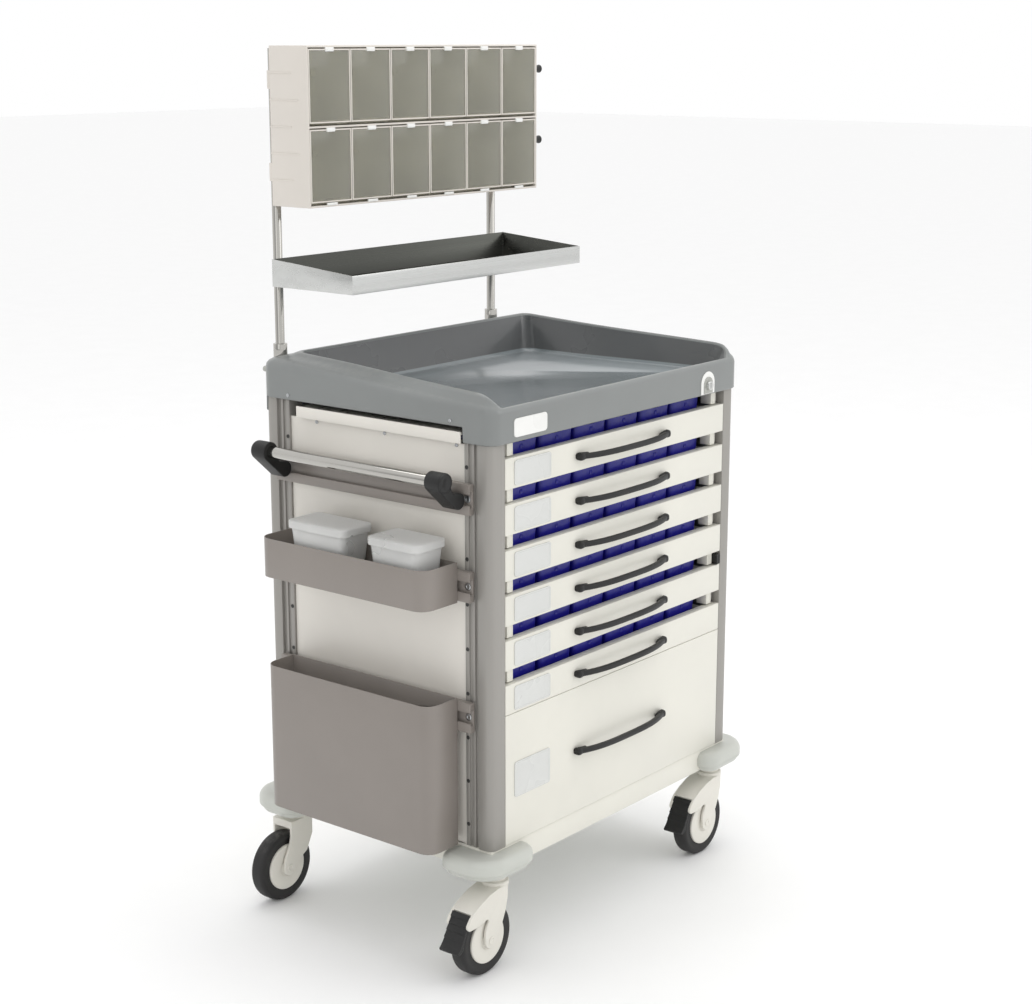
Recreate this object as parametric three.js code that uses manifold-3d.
// Mobile medication cart with seven drawers, side fittings, a steel shelf
// and an overhead rack of twelve tilt bins.
// Millimetres, +Z up, front towards -Y, push bar side towards -X.
import * as THREE from 'three';
import { mergeVertices } from 'three/addons/utils/BufferGeometryUtils.js';
import Module from 'manifold-3d';

const wasm = await Module();
wasm.setup();

// ---------- overall sizes ----------
const BODY_WIDTH = 696;
const BODY_DEPTH = 500;
const DRAWER_UNIT = 75;
const SHALLOW_DRAWERS = 6;
const DEEP_DRAWER_UNITS = 3;

// ---------- shared fits ----------
const FIT = 0.3;
const SLIDE_FIT = 1.2;

// ---------- casters ----------
const WHEEL_RADIUS = 62.5;
const WHEEL_WIDTH = 32;
const CASTER_TRAIL = 38;
const CASTER_INSET_X = 28;
const CASTER_INSET_Y = 17;
const FORK_CHEEK = 5;
const FORK_GAP = 2.5;
const AXLE_RADIUS = 6;
const HOOD_CLEARANCE = 22;
const STEM_RISE = 15;
const STEM_RADIUS = 15;

// ---------- base ----------
const CHASSIS_HEIGHT = 40;
const CHASSIS_WALL = 3;
const BUMPER_HEIGHT = 38;
const BUMPER_BULGE = 48;
const BUMPER_ARM = 104;
const BUMPER_REVEAL = 4;
const DECK_DROP = 6;
const DECK_THICKNESS = 7;

// ---------- posts and panels ----------
const POST_WIDTH = 34;
const POST_DEPTH = 56;
const POST_NOSE = 28;
const POST_WALL = 3;
const PANEL = 2;
const PANEL_INSET = 6;

// ---------- worktop ----------
const TOP_OVERHANG = 5;
const TOP_OVERHANG_FRONT = 7;
const TOP_WALL = 4.5;
const SKIRT_DROP = 25;
const FLOOR_THICKNESS = 4.7;
const FRONT_RIM_RISE = 28;
const SHOULDER_FRONT = 29;
const SHOULDER_REAR = 45;
const RIDGE_FRONT = 52;
const RIDGE_REAR = 71;
const RIDGE_INSET = 40;
const RIDGE_LIP = 7;
const LOCK_RADIUS = 8;

// ---------- drawers ----------
const FRONT_THICKNESS = 16;
const SHALLOW_FRONT = 50;
const DRAWER_GAP = 1.2;
const RUNNER_SPACE = 24;
const TRAY_WALL = 1.5;
const PAN_WALL = 1.8;
const PAN_RIB = 2;
const TRAY_BACK_GAP = 29;
const HANDLE_SPAN = 262;
const HANDLE_REACH = 30;
const HANDLE_BAR = 9;

// ---------- side fittings ----------
const RAIL_HEIGHT = 50;
const RAIL_THICKNESS = 12;
const RAIL_END_SETBACK = 35;
const RAIL_UPPER_DROP = 89;
const RAIL_MIDDLE_DROP = 232;
const RAIL_LOWER_RISE = 227;
const BAR_RADIUS = 10;
const BAR_REACH = 48;
const BAR_LIFT = 35;
const BRACKET_WIDTH = 26;
const BRACKET_END_SETBACK = 23;
const BASKET_REACH = 82;
const BASKET_HEIGHT = 67;
const BASKET_END_SETBACK = 31;
const BASKET_DROP = 28;
const BIN_REACH = 70;
const BIN_ABOVE_RAIL = 31;
const BIN_END_SETBACK = 28.5;
const FOLDED_WALL = 1.5;
const FOLDED_CORNER = 24;

// ---------- overhead ----------
const UPRIGHT_RADIUS = 8;
const UPRIGHT_INSET = 31;
const RACK_PAST_LEFT = 17;
const RACK_PAST_RIGHT = 19;
const UPRIGHT_SETBACK = 9;
const SOCKET_RADIUS = 12;
const SOCKET_HEIGHT = 30;
const SHELF_RISE = 184;
const SHELF_OVER_RACK = 9;
const SHELF_DEPTH = 184;
const SHELF_PAST_UPRIGHT = 37;
const SHELF_SETBACK = 32;
const SHELF_FRONT_LIP = 31;
const SHELF_REAR_LIP = 46;
const SHELF_SHEET = 2.4;
const RACK_RISE = 132;
const BIN_PITCH = 99;
const BIN_COLUMNS = 6;
const BIN_ROWS = 2;
const ROW_PITCH = 129;
const RACK_DEPTH = 87;
const RACK_WALL = 3;
const TILT_PIVOT = 9;
const TILT_WALL = 2.2;

// ---------- derived places ----------
const HALF_W = BODY_WIDTH / 2;
const FRONT_Y = -BODY_DEPTH / 2;
const REAR_Y = BODY_DEPTH / 2;
const HOOD_TOP = 2 * WHEEL_RADIUS + HOOD_CLEARANCE;
const CHASSIS_TOP = HOOD_TOP + STEM_RISE + DECK_DROP + BUMPER_HEIGHT + BUMPER_REVEAL;
const DRAWER_BASE = CHASSIS_TOP + 2;
const UNITS = SHALLOW_DRAWERS + DEEP_DRAWER_UNITS;
const TOP_BASE = DRAWER_BASE + UNITS * DRAWER_UNIT + 1;
const POST_TOP = TOP_BASE + SKIRT_DROP;
const FLOOR_Z = POST_TOP + FIT + FLOOR_THICKNESS;
const CHASSIS_BASE = CHASSIS_TOP - CHASSIS_HEIGHT;
const BUMPER_TOP = CHASSIS_TOP - BUMPER_REVEAL;
const BUMPER_BASE = BUMPER_TOP - BUMPER_HEIGHT;
const OPENING = BODY_WIDTH - 2 * POST_WIDTH;
const CASTER_X = HALF_W - CASTER_INSET_X;
const CASTER_Y = REAR_Y - CASTER_INSET_Y;
const SIDE_FACE = -HALF_W - FIT;
const RAIL_FACE = SIDE_FACE - RAIL_THICKNESS;
const RAIL_LENGTH = BODY_DEPTH - 2 * RAIL_END_SETBACK;
const RAIL_UPPER_Z = TOP_BASE - RAIL_UPPER_DROP;
const RAIL_MIDDLE_Z = TOP_BASE - RAIL_MIDDLE_DROP;
const RAIL_LOWER_Z = CHASSIS_TOP + RAIL_LOWER_RISE;
const BRACKET_SPACING = RAIL_LENGTH - 2 * BRACKET_END_SETBACK;
const UPRIGHT_Y = REAR_Y - UPRIGHT_SETBACK;
const RACK_WIDTH = BIN_COLUMNS * BIN_PITCH + 2 * RACK_WALL;
const UPRIGHT_LEFT_X = -HALF_W + UPRIGHT_INSET;
const UPRIGHT_RIGHT_X = UPRIGHT_LEFT_X + RACK_WIDTH - RACK_PAST_LEFT - RACK_PAST_RIGHT;
const UPRIGHT_BASE = FLOOR_Z + 52;
const SHELF_Z = Math.round(FLOOR_Z + SHELF_RISE);
const RACK_Z = SHELF_Z + RACK_RISE;
const LOCK_X = HALF_W - 99;
const LOCK_Z = TOP_BASE + 17;

// ---------- materials ----------
const shades = {
  cream: [0xdcd9ce, 0.45, 0],
  greyBody: [0x9d978f, 0.45, 0.1],
  plasticGrey: [0xb9bdba, 0.5, 0],
  topGrey: [0x8f9290, 0.45, 0],
  steel: [0xb8b9ba, 0.3, 0.9],
  chrome: [0xd9dadb, 0.12, 1],
  aluminium: [0xa9a39c, 0.35, 0.8],
  warmGrey: [0x8b847d, 0.5, 0.1],
  black: [0x1f1f1e, 0.5, 0],
  rackShell: [0xd8d3c8, 0.5, 0],
  smoke: [0xa3a39a, 0.15, 0],
  casterWhite: [0xdedcd4, 0.45, 0],
  rubberDark: [0x2b2b29, 0.75, 0],
};
function paint(key) {
  const [color, roughness, metalness] = shades[key];
  return new THREE.MeshStandardMaterial({ color, roughness, metalness });
}

// ---------- solid helpers ----------
function toManifold(geometry) {
  const bare = geometry.clone();
  bare.deleteAttribute('normal');
  bare.deleteAttribute('uv');
  const merged = mergeVertices(bare, 1e-4);
  const mesh = new wasm.Mesh({
    numProp: 3,
    vertProperties: new Float32Array(merged.attributes.position.array),
    triVerts: new Uint32Array(merged.index.array),
  });
  return new wasm.Manifold(mesh);
}
function toGeometry(solid) {
  const mesh = solid.getMesh();
  const geometry = new THREE.BufferGeometry();
  geometry.setAttribute('position', new THREE.BufferAttribute(mesh.vertProperties, 3));
  geometry.setIndex(new THREE.BufferAttribute(mesh.triVerts, 1));
  const flat = geometry.toNonIndexed();
  flat.computeVertexNormals();
  return flat;
}
function block(x0, x1, y0, y1, z0, z1) {
  const geometry = new THREE.BoxGeometry(x1 - x0, y1 - y0, z1 - z0);
  geometry.translate((x0 + x1) / 2, (y0 + y1) / 2, (z0 + z1) / 2);
  return toManifold(geometry);
}
function shapeOf(points) {
  return new THREE.Shape(points.map(([a, b]) => new THREE.Vector2(a, b)));
}
function prismZ(points, z0, z1) {
  const geometry = new THREE.ExtrudeGeometry(shapeOf(points), { depth: z1 - z0, bevelEnabled: false });
  geometry.translate(0, 0, z0);
  return toManifold(geometry);
}
// points given as (y, z), swept along X
function prismX(points, x0, x1) {
  const geometry = new THREE.ExtrudeGeometry(shapeOf(points), { depth: x1 - x0, bevelEnabled: false });
  geometry.rotateX(Math.PI / 2);
  geometry.rotateZ(Math.PI / 2);
  geometry.translate(x0, 0, 0);
  return toManifold(geometry);
}
// points given as (x, z), swept along Y
function prismY(points, y0, y1) {
  const geometry = new THREE.ExtrudeGeometry(shapeOf(points), { depth: y1 - y0, bevelEnabled: false });
  geometry.rotateX(Math.PI / 2);
  geometry.translate(0, y1, 0);
  return toManifold(geometry);
}
function rod(axis, radius, length, x, y, z, sides = 24) {
  const geometry = new THREE.CylinderGeometry(radius, radius, length, sides);
  if (axis === 'x') geometry.rotateZ(Math.PI / 2);
  if (axis === 'z') geometry.rotateX(Math.PI / 2);
  geometry.translate(x, y, z);
  return toManifold(geometry);
}
function fuse(...solids) {
  return solids.reduce((a, b) => a.add(b));
}
function roundedRect(x0, x1, y0, y1, radii, steps = 5) {
  // radii order: (x0,y0), (x1,y0), (x1,y1), (x0,y1)
  const corners = [
    [x0 + radii[0], y0 + radii[0], Math.PI, radii[0]],
    [x1 - radii[1], y0 + radii[1], 1.5 * Math.PI, radii[1]],
    [x1 - radii[2], y1 - radii[2], 0, radii[2]],
    [x0 + radii[3], y1 - radii[3], 0.5 * Math.PI, radii[3]],
  ];
  const points = [];
  for (const [cx, cy, start, radius] of corners) {
    const count = radius > 0 ? steps : 0;
    for (let i = 0; i <= count; i += 1) {
      const angle = start + (count ? (i / count) * (Math.PI / 2) : 0);
      points.push([cx + radius * Math.cos(angle), cy + radius * Math.sin(angle)]);
    }
  }
  return points;
}
function quadSolid(rings) {
  // closed solid through rings of four corners, bottom ring first
  const positions = rings.flat(2);
  const index = [0, 2, 1, 0, 3, 2];
  for (let r = 0; r + 1 < rings.length; r += 1) {
    for (let i = 0; i < 4; i += 1) {
      const a = r * 4 + i;
      const b = r * 4 + ((i + 1) % 4);
      index.push(a, b, b + 4, a, b + 4, a + 4);
    }
  }
  const t = (rings.length - 1) * 4;
  index.push(t, t + 1, t + 2, t, t + 2, t + 3);
  const geometry = new THREE.BufferGeometry();
  geometry.setAttribute('position', new THREE.Float32BufferAttribute(positions, 3));
  geometry.setIndex(index);
  return toManifold(geometry);
}

const cart = new THREE.Group();
function addNode(name, solid, shade, parent = cart) {
  const mesh = new THREE.Mesh(toGeometry(solid), paint(shade));
  mesh.name = name;
  parent.add(mesh);
  return mesh;
}
function pivot(name, x, y, z, parent = cart) {
  const group = new THREE.Group();
  group.name = name;
  group.position.set(x, y, z);
  parent.add(group);
  return group;
}

// ---------- chassis: shallow folded tray ----------
{
  const hx = HALF_W - 2;
  const hy = REAR_Y - 3;
  const outer = block(-hx, hx, -hy, hy, CHASSIS_BASE, CHASSIS_TOP);
  const w = CHASSIS_WALL;
  const hollow = block(-hx + w, hx - w, -hy + w, hy - w, CHASSIS_BASE + w, CHASSIS_TOP + 1);
  let tray = outer.subtract(hollow);
  // corner blocks close the tray under the posts
  for (const sx of [-1, 1]) {
    for (const sy of [-1, 1]) {
      const x0 = sx > 0 ? hx - POST_WIDTH - 4 : -hx;
      const y0 = sy > 0 ? hy - POST_DEPTH - 4 : -hy;
      const pad = block(x0, x0 + POST_WIDTH + 4, y0, y0 + POST_DEPTH + 4, CHASSIS_BASE, CHASSIS_TOP);
      tray = tray.add(pad);
    }
  }
  addNode('chassis', tray, 'cream');
}

// ---------- bumper deck: moulded deck with four corner bumpers ----------
{
  const hx = HALF_W;
  const hy = REAR_Y;
  const corner = (steps, z0, z1, grow) => {
    const r = BUMPER_BULGE + 8 - grow;
    const cx = hx - 8;
    const cy = hy - 24;
    const points = [[hx - BUMPER_ARM, hy - 60], [hx + 2 - grow, hy - BUMPER_ARM]];
    for (let i = 0; i <= steps; i += 1) {
      const a = -0.42 + (i / steps) * (Math.PI / 2 + 0.84);
      points.push([cx + r * Math.cos(a), cy + r * Math.sin(a)]);
    }
    points.push([hx - BUMPER_ARM, hy + 4 - grow]);
    return prismZ(points, z0, z1);
  };
  const z0 = BUMPER_BASE;
  const z1 = BUMPER_TOP;
  const quarter = fuse(corner(9, z0 + 9, z1 - 5, 0), corner(9, z0, z1, 5));
  const deck = block(-hx + 30, hx - 30, -hy + 30, hy - 30, z0 - DECK_DROP, z0 - DECK_DROP + DECK_THICKNESS);
  let solid = deck;
  for (const sx of [-1, 1]) {
    for (const sy of [-1, 1]) {
      solid = solid.add(quarter.scale([sx, sy, 1]));
      const boss = rod('z', 27, 9, sx * CASTER_X, sy * CASTER_Y, z0 - 1.5);
      solid = solid.add(boss);
    }
  }
  const cutX = HALF_W - 2 + FIT;
  const cutY = REAR_Y - 3 + FIT;
  solid = solid.subtract(block(-cutX, cutX, -cutY, cutY, CHASSIS_BASE - FIT, CHASSIS_TOP + 5));
  addNode('bumper_deck', solid, 'plasticGrey');
}

// ---------- corner posts ----------
function postOutline() {
  // section of the front left post, nose towards the front
  const x0 = -HALF_W;
  const x1 = x0 + POST_WIDTH;
  const y0 = FRONT_Y;
  const y1 = y0 + POST_DEPTH;
  const yn = y0 + POST_NOSE;
  const nose = [];
  const r = 13;
  for (let i = 0; i <= 5; i += 1) {
    const a = Math.PI + (i / 5) * (Math.PI / 2);
    nose.push([x0 + r + r * Math.cos(a), y0 + r + r * Math.sin(a)]);
  }
  return [
    ...nose,
    [x1, y0],
    [x1, y1],
    [x0 + 2, y1],
    [x0 + 2, yn + 20],
    [x0 + 5, yn + 20],
    [x0 + 5, yn + 13],
    [x0 + 2, yn + 13],
    [x0 + 2, yn + 8],
    [x0 + 6, yn + 8],
    [x0 + 6, yn],
    [x0, yn],
  ];
}
{
  const solidPost = prismZ(postOutline(), CHASSIS_TOP + FIT, POST_TOP);
  const x1 = -HALF_W + POST_WIDTH - POST_WALL;
  const y1 = FRONT_Y + POST_DEPTH - POST_WALL;
  const bore = block(-HALF_W + 9, x1, FRONT_Y + POST_WALL + 2, y1, CHASSIS_TOP - 5, POST_TOP + 5);
  const post = solidPost.subtract(bore);
  addNode('corner_post_front_left', post, 'aluminium');
  addNode('corner_post_front_right', post.mirror([1, 0, 0]), 'aluminium');
  addNode('corner_post_rear_left', post.mirror([0, 1, 0]), 'aluminium');
  addNode('corner_post_rear_right', post.mirror([1, 0, 0]).mirror([0, 1, 0]), 'aluminium');
}

// ---------- cabinet shell: two sides and a back in one folded sheet ----------
{
  const xo = HALF_W - PANEL_INSET;
  const ys = REAR_Y - POST_DEPTH - FIT;
  const xi = HALF_W - POST_WIDTH - FIT;
  const yb = REAR_Y - 5;
  const right = [
    [xo, -ys],
    [xo, ys],
    [xi, ys],
    [xi, yb],
  ];
  const outer = [...right, ...right.map(([x, y]) => [-x, y]).reverse()];
  const inner = [
    [-xo + PANEL, -ys],
    [-xo + PANEL, ys - PANEL],
    [-xi + PANEL, ys - PANEL],
    [-xi + PANEL, yb - PANEL],
    [xi - PANEL, yb - PANEL],
    [xi - PANEL, ys - PANEL],
    [xo - PANEL, ys - PANEL],
    [xo - PANEL, -ys],
  ];
  const shell = prismZ([...outer, ...inner], CHASSIS_TOP + FIT, TOP_BASE - 4);
  addNode('cabinet_shell', shell, 'cream');
}

// ---------- worktop: moulded tray with raised gallery ----------
{
  const hx = HALF_W + TOP_OVERHANG;
  const yf = FRONT_Y - TOP_OVERHANG_FRONT;
  const yr = REAR_Y + TOP_OVERHANG;
  const zs = FLOOR_Z + SHOULDER_FRONT;
  const zr = FLOOR_Z + SHOULDER_REAR;
  const ring = (inset, insetFront, zFront, zRear) => [
    [-hx + inset, yf + insetFront, zFront],
    [hx - inset, yf + insetFront, zFront],
    [hx - inset, yr - inset, zRear],
    [-hx + inset, yr - inset, zRear],
  ];
  let solid = quadSolid([
    ring(0, 0, TOP_BASE, TOP_BASE),
    ring(0, 0, zs, zr),
    ring(RIDGE_INSET - 5, 36, FLOOR_Z + RIDGE_FRONT - 3, FLOOR_Z + RIDGE_REAR - 3),
    ring(RIDGE_INSET, 42, FLOOR_Z + RIDGE_FRONT, FLOOR_Z + RIDGE_REAR),
  ]);
  const round = prismZ(roundedRect(-hx, hx, yf, yr, [20, 20, 20, 20]), TOP_BASE - 1, zr + 100);
  solid = solid.intersect(round);
  // tray well with sloping inner walls
  const ix = hx - RIDGE_INSET - RIDGE_LIP;
  const iyf = yf + 14;
  const iyr = yr - RIDGE_INSET - RIDGE_LIP;
  const slope = 14;
  const high = FLOOR_Z + RIDGE_REAR + 20;
  solid = solid.subtract(quadSolid([
    [[-ix + slope, iyf + 8, FLOOR_Z], [ix - slope, iyf + 8, FLOOR_Z],
      [ix - slope, iyr - slope, FLOOR_Z], [-ix + slope, iyr - slope, FLOOR_Z]],
    [[-ix, iyf, high], [ix, iyf, high], [ix, iyr, high], [-ix, iyr, high]],
  ]));
  // low front rim between the two gallery ends
  solid = solid.subtract(block(-ix + 2, ix - 2, yf - 1, iyf + 40, FLOOR_Z + FRONT_RIM_RISE, high));
  // hollow underside over the posts
  const ux = HALF_W + FIT;
  solid = solid.subtract(block(-ux, ux, FRONT_Y - FIT, REAR_Y + FIT, TOP_BASE - 1, POST_TOP + FIT));
  // side skirt is raised over the pull-out shelf
  const notch = block(-hx - 1, -ux + 1, FRONT_Y + POST_DEPTH - 4, yr + 1, TOP_BASE - 1, POST_TOP + FIT);
  solid = solid.subtract(notch);
  // pockets for the uprights and the lock
  for (const x of [UPRIGHT_LEFT_X, UPRIGHT_RIGHT_X]) {
    solid = solid.subtract(rod('z', SOCKET_RADIUS + FIT, 80, x, UPRIGHT_Y, UPRIGHT_BASE + 40));
  }
  solid = solid.subtract(rod('y', LOCK_RADIUS + FIT, 60, LOCK_X, yf, LOCK_Z));
  addNode('worktop', solid, 'topGrey');
}

// ---------- drawer runners ----------
{
  const x0 = OPENING / 2 - RUNNER_SPACE + SLIDE_FIT;
  const x1 = OPENING / 2 - PANEL - 2 * FIT;
  const yb = REAR_Y - 5 - PANEL - FIT;
  const plate = block(x1 - 4, x1, FRONT_Y + 20, yb, CHASSIS_TOP + FIT, TOP_BASE - 6);
  let side = plate;
  for (let i = 0; i <= SHALLOW_DRAWERS; i += 1) {
    const deep = i === SHALLOW_DRAWERS;
    const base = DRAWER_BASE + (deep ? 0 : (UNITS - 1 - i) * DRAWER_UNIT);
    const z = base + (deep ? 90 : 22);
    side = side.add(block(x0, x1 - 3, FRONT_Y + 20, yb, z, z + 12));
  }
  addNode('runner_frame_right', side, 'plasticGrey');
  addNode('runner_frame_left', side.mirror([1, 0, 0]), 'plasticGrey');
}

// ---------- drawers and bow handles ----------
// a flat bow in plan: two feet on the front and a grip that stands off it
function handleSolid(z) {
  const half = HANDLE_BAR / 2;
  const steps = 16;
  const front = [];
  const back = [];
  for (let i = 0; i <= steps; i += 1) {
    const s = (2 * i) / steps - 1;
    const x = (s * HANDLE_SPAN) / 2;
    const reach = HANDLE_REACH * (1 - s ** 4);
    front.push([x, FRONT_Y - FIT - reach]);
    back.push([x, FRONT_Y - FIT - Math.max(0, reach - HANDLE_BAR)]);
  }
  const grip = [];
  grip.push([-HANDLE_SPAN / 2 - half, FRONT_Y - FIT]);
  grip.push([-HANDLE_SPAN / 2 - half, FRONT_Y - FIT - 6]);
  for (let i = 1; i < steps; i += 1) grip.push(front[i]);
  grip.push([HANDLE_SPAN / 2 + half, FRONT_Y - FIT - 6]);
  grip.push([HANDLE_SPAN / 2 + half, FRONT_Y - FIT]);
  grip.push([HANDLE_SPAN / 2 - HANDLE_BAR, FRONT_Y - FIT]);
  for (let i = steps - 2; i > 1; i -= 1) grip.push(back[i]);
  grip.push([-HANDLE_SPAN / 2 + HANDLE_BAR, FRONT_Y - FIT]);
  return prismZ(grip, z - half, z + half);
}
for (let i = 0; i <= SHALLOW_DRAWERS; i += 1) {
  const deep = i === SHALLOW_DRAWERS;
  const base = DRAWER_BASE + (deep ? 0 : (UNITS - 1 - i) * DRAWER_UNIT);
  const height = deep ? DEEP_DRAWER_UNITS * DRAWER_UNIT - DRAWER_GAP : SHALLOW_FRONT;
  const hx = OPENING / 2 - DRAWER_GAP;
  const bx = OPENING / 2 - RUNNER_SPACE;
  const y0 = FRONT_Y + FRONT_THICKNESS;
  const y1 = REAR_Y - TRAY_BACK_GAP;
  const z0 = base + 4;
  const z1 = base + height - (deep ? 45 : 5);
  const w = PAN_WALL;
  let front = block(-hx, hx, FRONT_Y, y0, base, base + height);
  front = front.subtract(block(-hx + w, hx - w, FRONT_Y + w, y0 + 1, base + w, base + height - w));
  for (const x of [-0.9 * bx, -0.45 * bx, 0, 0.45 * bx, 0.9 * bx]) {
    front = front.add(block(x - PAN_RIB / 2, x + PAN_RIB / 2, FRONT_Y + w - 0.5, y0, base + w - 0.5, z1 - 1));
  }
  const tray = block(-bx, bx, y0 - 1, y1, z0, z1);
  const hollow = block(-bx + TRAY_WALL, bx - TRAY_WALL, y0 + 2, y1 - TRAY_WALL, z0 + TRAY_WALL, z1 + 1);
  addNode(`drawer_${i + 1}`, front.add(tray.subtract(hollow)), 'cream');
  const handleZ = base + (deep ? 112 : SHALLOW_FRONT / 2);
  addNode(`drawer_handle_${i + 1}`, handleSolid(handleZ), 'black');
}

// ---------- lock barrel ----------
{
  const y0 = FRONT_Y - TOP_OVERHANG_FRONT - 8;
  const barrel = rod('y', LOCK_RADIUS, 24, 0, y0 + 12, 0);
  const key = block(-1.2, 1.2, y0 - 1, y0 + 3, -5, 5);
  const lock = pivot('lock_barrel_pivot', LOCK_X, 0, LOCK_Z);
  addNode('lock_barrel', barrel.subtract(key), 'steel', lock);
}

// ---------- pull-out side shelf ----------
{
  const y0 = FRONT_Y + POST_DEPTH + 2;
  const y1 = REAR_Y - POST_DEPTH - 24;
  const plate = block(-HALF_W - 4, -HALF_W + 310, y0, y1, TOP_BASE + 12, TOP_BASE + 15);
  const lip = block(-HALF_W - 6, -HALF_W - 3, y0, y1, TOP_BASE - 2, TOP_BASE + 17);
  addNode('side_shelf', plate.add(lip), 'cream');
}

// ---------- side rails ----------
const rails = [['rail_upper', RAIL_UPPER_Z], ['rail_middle', RAIL_MIDDLE_Z], ['rail_lower', RAIL_LOWER_Z]];
for (const [name, z] of rails) {
  const h = RAIL_HEIGHT / 2;
  const section = [
    [SIDE_FACE, z - h],
    [SIDE_FACE, z + h],
    [RAIL_FACE, z + h],
    [RAIL_FACE, z + 9],
    [RAIL_FACE + 3, z + 9],
    [RAIL_FACE + 3, z + 13],
    [RAIL_FACE + 8, z + 13],
    [RAIL_FACE + 8, z - 13],
    [RAIL_FACE + 3, z - 13],
    [RAIL_FACE + 3, z - 9],
    [RAIL_FACE, z - 9],
    [RAIL_FACE, z - h],
  ].reverse();
  addNode(name, prismY(section, -RAIL_LENGTH / 2, RAIL_LENGTH / 2), 'warmGrey');
}

// ---------- push bar on two brackets ----------
{
  const barX = RAIL_FACE - BAR_REACH;
  const barZ = RAIL_UPPER_Z + BAR_LIFT;
  const y = BRACKET_SPACING / 2;
  const half = BRACKET_WIDTH / 2;
  const bar = rod('y', BAR_RADIUS, BRACKET_SPACING - 8, barX, 0, barZ, 20);
  addNode('push_bar', bar, 'chrome');
  const armOutline = [
    [RAIL_FACE - FIT, RAIL_UPPER_Z - 15],
    [RAIL_FACE - FIT, RAIL_UPPER_Z + 15],
    [barX + 8, barZ + 13],
    [barX - 4, barZ - 12],
    [RAIL_FACE - 16, RAIL_UPPER_Z - 14],
  ].reverse();
  const arm = prismY(armOutline, -half, half);
  const head = rod('y', 17, BRACKET_WIDTH, barX, 0, barZ, 24);
  const foot = block(RAIL_FACE - 14, RAIL_FACE - FIT, -half - 4, half + 4, RAIL_UPPER_Z - 16, RAIL_UPPER_Z + 16);
  const bracket = fuse(arm, head, foot);
  const socket = rod('y', BAR_RADIUS + FIT, BRACKET_WIDTH, barX, half - 4, barZ, 20);
  const front = bracket.subtract(socket).translate([0, -y, 0]);
  const rear = bracket.subtract(socket.mirror([0, 1, 0])).translate([0, y, 0]);
  addNode('push_bar_bracket_front', front, 'black');
  addNode('push_bar_bracket_rear', rear, 'black');
}

// ---------- folded side basket and waste bin ----------
function foldedBin(reach, height, length, zBase, yMid) {
  const x1 = RAIL_FACE - FIT;
  const x0 = x1 - reach;
  const y0 = yMid - length / 2;
  const y1 = yMid + length / 2;
  const r = FOLDED_CORNER;
  const w = FOLDED_WALL;
  const outer = prismZ(roundedRect(x0, x1, y0, y1, [r, 0, 0, r]), zBase, zBase + height);
  const hollowPlan = roundedRect(x0 + w, x1 - w, y0 + w, y1 - w, [r - w, 0, 0, r - w]);
  const hollow = prismZ(hollowPlan, zBase + w, zBase + height + 1);
  return outer.subtract(hollow);
}
const BASKET_LENGTH = RAIL_LENGTH - 2 * BASKET_END_SETBACK;
const BASKET_BASE = RAIL_MIDDLE_Z - BASKET_DROP;
const BIN_LENGTH = RAIL_LENGTH - 2 * BIN_END_SETBACK;
const BIN_BASE = CHASSIS_TOP + 4;
const BIN_HEIGHT = RAIL_LOWER_Z + BIN_ABOVE_RAIL - BIN_BASE;
addNode('side_basket', foldedBin(BASKET_REACH, BASKET_HEIGHT, BASKET_LENGTH, BASKET_BASE, -6), 'warmGrey');
addNode('waste_bin', foldedBin(BIN_REACH, BIN_HEIGHT, BIN_LENGTH, BIN_BASE, -2), 'warmGrey');

// ---------- uprights ----------
const RACK_TOP = RACK_Z + BIN_ROWS * ROW_PITCH + RACK_WALL;
for (const [name, x] of [['upright_left', UPRIGHT_LEFT_X], ['upright_right', UPRIGHT_RIGHT_X]]) {
  const z0 = UPRIGHT_BASE + FIT;
  const tube = rod('z', UPRIGHT_RADIUS, RACK_TOP - z0 - 4, x, UPRIGHT_Y, (z0 + RACK_TOP - 4) / 2, 20);
  const socket = rod('z', SOCKET_RADIUS, SOCKET_HEIGHT, x, UPRIGHT_Y, z0 + SOCKET_HEIGHT / 2, 24);
  addNode(name, tube.add(socket), 'chrome');
}
function clampBlock(x, yInner, z0, z1) {
  return block(x - 14, x + 14, yInner, UPRIGHT_Y + 13, z0, z1);
}
function tubeHole(x, z0, z1) {
  return rod('z', UPRIGHT_RADIUS + FIT, z1 - z0, x, UPRIGHT_Y, (z0 + z1) / 2, 20);
}

// ---------- steel shelf ----------
{
  const x0 = UPRIGHT_LEFT_X - SHELF_PAST_UPRIGHT;
  const x1 = x0 + RACK_WIDTH + SHELF_OVER_RACK;
  const y1 = REAR_Y - SHELF_SETBACK;
  const y0 = y1 - SHELF_DEPTH;
  const t = SHELF_SHEET;
  const section = [
    [y0, SHELF_Z],
    [y1, SHELF_Z],
    [y1, SHELF_Z + SHELF_REAR_LIP],
    [y0, SHELF_Z + SHELF_FRONT_LIP],
  ];
  const outer = prismX(section, x0, x1);
  const hollow = block(x0 + t, x1 - t, y0 + t, y1 - t, SHELF_Z + t, SHELF_Z + 80);
  let solid = outer.subtract(hollow);
  for (const x of [UPRIGHT_LEFT_X, UPRIGHT_RIGHT_X]) {
    solid = solid.add(clampBlock(x, y1 - t, SHELF_Z + 6, SHELF_Z + 40));
    solid = solid.subtract(tubeHole(x, SHELF_Z - 20, SHELF_Z + 80));
  }
  addNode('steel_shelf', solid, 'steel');
}

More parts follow.
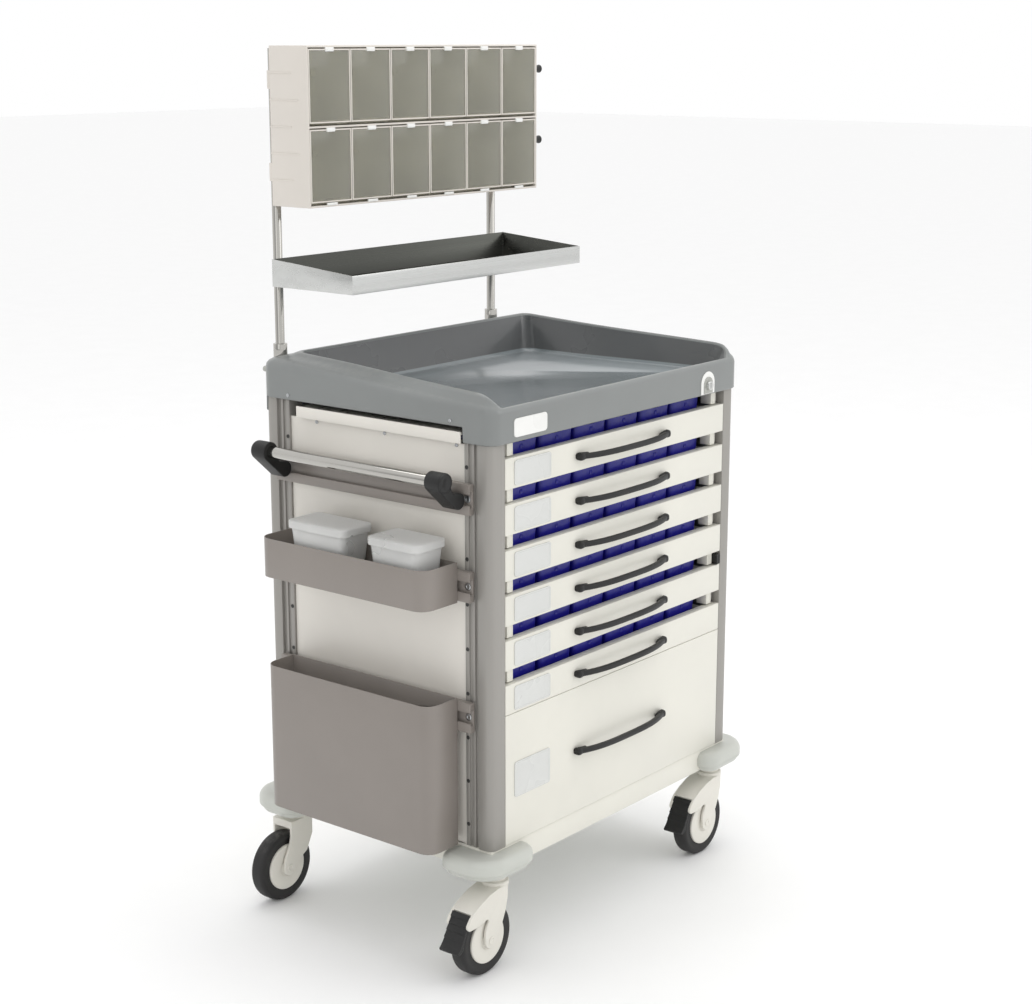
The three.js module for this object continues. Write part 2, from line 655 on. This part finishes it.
// ---------- rack shell and twelve tilt bins ----------
const RACK_X0 = UPRIGHT_LEFT_X - RACK_PAST_LEFT;
const RACK_X1 = RACK_X0 + RACK_WIDTH;
const RACK_REAR = UPRIGHT_Y - UPRIGHT_RADIUS - 1;
const RACK_FRONT = RACK_REAR - RACK_DEPTH;
{
  let solid = block(RACK_X0, RACK_X1, RACK_FRONT, RACK_REAR, RACK_Z, RACK_TOP);
  for (let row = 0; row < BIN_ROWS; row += 1) {
    const z0 = RACK_Z + RACK_WALL + row * ROW_PITCH;
    const z1 = z0 + ROW_PITCH - RACK_WALL;
    const room = block(RACK_X0 + RACK_WALL, RACK_X1 - RACK_WALL, RACK_FRONT - 1, RACK_REAR - RACK_WALL, z0, z1);
    solid = solid.subtract(room);
  }
  for (const x of [UPRIGHT_LEFT_X, UPRIGHT_RIGHT_X]) {
    for (const z of [RACK_Z + 40, RACK_TOP - 70]) {
      solid = solid.add(clampBlock(x, RACK_REAR - 1, z, z + 30));
    }
    solid = solid.subtract(tubeHole(x, RACK_Z - 20, RACK_TOP + 20));
  }
  addNode('rack_shell', solid, 'rackShell');
}
{
  const top = ROW_PITCH - RACK_WALL - 1.2 - TILT_PIVOT;
  const p = TILT_PIVOT - 0.8;
  const back = RACK_DEPTH - RACK_WALL - 1.5 - TILT_PIVOT;
  const reach = top - 2;
  const arc = [0.66, 0.5, 0.33, 0.16].map((k) => {
    const a = Math.PI / 2 - Math.asin(back / reach) * k * 1.5;
    return [reach * Math.cos(a), reach * Math.sin(a)];
  });
  const backTop = Math.sqrt(reach ** 2 - back ** 2);
  const profile = [
    [-p, 0],
    [-p * 0.7, -p * 0.7],
    [0, -p],
    [back, -p],
    [back, backTop],
    ...arc,
    [0, reach],
    [-p, top - 1],
  ];
  const t = TILT_WALL;
  const inner = [
    [-p + t, 2],
    [2, -p + t],
    [back - t, -p + t],
    [back - t, top + 20],
    [-p + t, top + 20],
  ];
  const half = BIN_PITCH / 2 - 0.8;
  const binSolid = prismX(profile, -half, half).subtract(prismX(inner, -half + t, half - t));
  for (let row = 0; row < BIN_ROWS; row += 1) {
    for (let column = 0; column < BIN_COLUMNS; column += 1) {
      const x = RACK_X0 + RACK_WALL + (column + 0.5) * BIN_PITCH;
      const z = RACK_Z + RACK_WALL + (BIN_ROWS - 1 - row) * ROW_PITCH + TILT_PIVOT;
      const name = `tilt_bin_${row + 1}_${column + 1}`;
      const hinge = pivot(`${name}_pivot`, x, RACK_FRONT + TILT_PIVOT, z);
      addNode(name, binSolid, 'smoke', hinge);
    }
  }
}

// ---------- casters ----------
function forkSolid() {
  const x = -CASTER_TRAIL;
  const inner = WHEEL_WIDTH / 2 + FORK_GAP;
  const outer = inner + FORK_CHEEK;
  const z = HOOD_TOP;
  const cheek = [
    [22, z],
    [-20, z],
    [-72, z - 12],
    [-74, z - 26],
    [-58, z - 30],
  ];
  for (let i = 0; i <= 8; i += 1) {
    const a = Math.PI * 0.95 + (i / 8) * Math.PI * 1.02;
    cheek.push([x + 21 * Math.cos(a), WHEEL_RADIUS + 21 * Math.sin(a)]);
  }
  cheek.push([22, z - 24]);
  const near = prismY(cheek, -outer, -inner);
  const far = near.mirror([0, 1, 0]);
  const hood = [
    [22, z],
    [-20, z],
    [-72, z - 12],
    [-72, z - 17],
    [-20, z - 8],
    [22, z - 10],
  ];
  const roof = prismY(hood, -outer, outer);
  const stem = rod('z', STEM_RADIUS, STEM_RISE + 8 - FIT, 0, 0, z - 8 + (STEM_RISE + 8 - FIT) / 2);
  const axle = rod('y', AXLE_RADIUS, 2 * outer - 1, x, 0, WHEEL_RADIUS, 16);
  return fuse(near, far, roof, stem, axle);
}
function wheelSolid() {
  const w = WHEEL_WIDTH / 2;
  const r = WHEEL_RADIUS;
  const bore = AXLE_RADIUS + FIT;
  const profile = [
    [bore, -w],
    [r - 18, -w],
    [r - 15, -w + 2],
    [r - 4, -w + 3],
    [r, -w + 8],
    [r, w - 8],
    [r - 4, w - 3],
    [r - 15, w - 2],
    [r - 18, w],
    [bore, w],
    [bore, -w],
  ].map(([a, b]) => new THREE.Vector2(a, b));
  return toManifold(new THREE.LatheGeometry(profile, 32));
}
function pedalSolid() {
  const half = 20;
  const plate = [
    [4, 3],
    [-6, 5],
    [-50, -40],
    [-52, -48],
    [-45, -48],
    [-2, -6],
  ];
  const pad = prismY(plate, -half, half);
  const pin = rod('y', 4, 2 * half, 0, 0, 0, 12);
  return pad.add(pin);
}
const fork = forkSolid();
const wheel = wheelSolid();
const pedal = pedalSolid();
const seats = [
  ['front_left', -1, -1, true],
  ['front_right', 1, -1, true],
  ['rear_left', -1, 1, false],
  ['rear_right', 1, 1, false],
];
for (const [name, sx, sy, braked] of seats) {
  const swivel = pivot(`swivel_${name}`, sx * CASTER_X, sy * CASTER_Y, 0);
  addNode(`caster_fork_${name}`, fork, 'casterWhite', swivel);
  const hub = pivot(`hub_${name}`, -CASTER_TRAIL, 0, WHEEL_RADIUS, swivel);
  addNode(`caster_wheel_${name}`, wheel, 'rubberDark', hub);
  if (braked) {
    const toe = pivot(`pedal_pivot_${name}`, -CASTER_TRAIL - 43, 0, HOOD_TOP - 16, swivel);
    addNode(`brake_pedal_${name}`, pedal, 'black', toe);
  }
}

// ---------- origin at the centre of the footprint, on the floor ----------
cart.updateMatrixWorld(true);
const bounds = new THREE.Box3().setFromObject(cart, true);
cart.position.set(-(bounds.min.x + bounds.max.x) / 2, -(bounds.min.y + bounds.max.y) / 2, -bounds.min.z);
cart.name = 'cart';
const part = new THREE.Group();
part.name = 'medication_cart';
part.add(cart);
part.updateMatrixWorld(true);

export default part;
